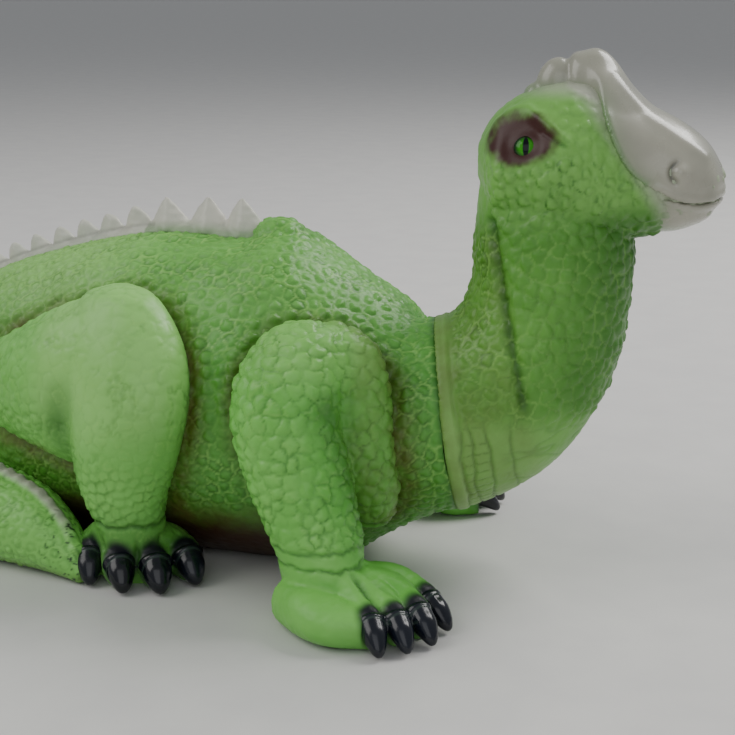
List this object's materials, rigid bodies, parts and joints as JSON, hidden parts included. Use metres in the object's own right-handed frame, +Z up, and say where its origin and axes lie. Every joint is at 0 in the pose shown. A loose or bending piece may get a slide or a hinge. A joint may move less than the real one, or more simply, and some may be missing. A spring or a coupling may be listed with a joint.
{
  "type": "stuffed dinosaur",
  "caption": "Soft-vinyl toy dinosaur lying on its belly, duck-billed with a crest, folded legs, clawed feet, a spiked back ridge, a curled tail and a neck that turns.",
  "frame": {"origin": "centre of the box's bottom, on the ground", "axes": "+X towards the chest along the trunk, +Y to the animal's left, +Z up"},
  "size_m": [0.4372, 0.236, 0.2475],
  "materials": {
    "trunk_vinyl": "satin moulded soft vinyl, sprayed",
    "neck_vinyl": "satin moulded soft vinyl, sprayed",
    "leg_vinyl": "satin moulded soft vinyl, sprayed",
    "tail_vinyl": "satin moulded soft vinyl, sprayed",
    "bill_cream": "glossy painted vinyl",
    "ridge_cream": "satin painted vinyl",
    "claw_black": "glossy painted vinyl",
    "eye_button": "glossy",
    "eye_lens_clear": "clear gloss",
    "eye_washer_nylon": "matt",
    "belly_plug": "matt",
    "stuffing_fibre": "loose white fibre"
  },
  "bodies": {
    "body": {"back_ridge": "ridge_cream", "filling_hole_plug": "belly_plug", "foreleg_left_claws": "claw_black", "foreleg_left_skin": "leg_vinyl", "foreleg_left_stuffing": "stuffing_fibre", "foreleg_right_claws": "claw_black", "foreleg_right_skin": "leg_vinyl", "foreleg_right_stuffing": "stuffing_fibre", "hind_leg_left_claws": "claw_black", "hind_leg_left_skin": "leg_vinyl", "hind_leg_left_stuffing": "stuffing_fibre", "hind_leg_right_claws": "claw_black", "hind_leg_right_skin": "leg_vinyl", "hind_leg_right_stuffing": "stuffing_fibre", "tail_skin": "tail_vinyl", "tail_stuffing": "stuffing_fibre", "trunk_skin": "trunk_vinyl", "trunk_stuffing": "stuffing_fibre"},
    "head_and_neck": {"head_and_neck_skin": "neck_vinyl", "head_and_neck_stuffing": "stuffing_fibre", "bill_and_crest": "bill_cream", "lower_bill": "bill_cream", "eye_left": "eye_button", "eye_right": "eye_button", "eye_lens_left": "eye_lens_clear", "eye_lens_right": "eye_lens_clear", "eye_washer_left": "eye_washer_nylon", "eye_washer_right": "eye_washer_nylon"}
  },
  "joints": [
    {"name": "neck_turn", "type": "hinge", "parent": "body", "child": "head_and_neck", "pos_m": [0.09831, 0, 0.077], "axis": [0.9565, 0.2563, 0.1392], "range_deg": [-25, 25]}
  ]
}
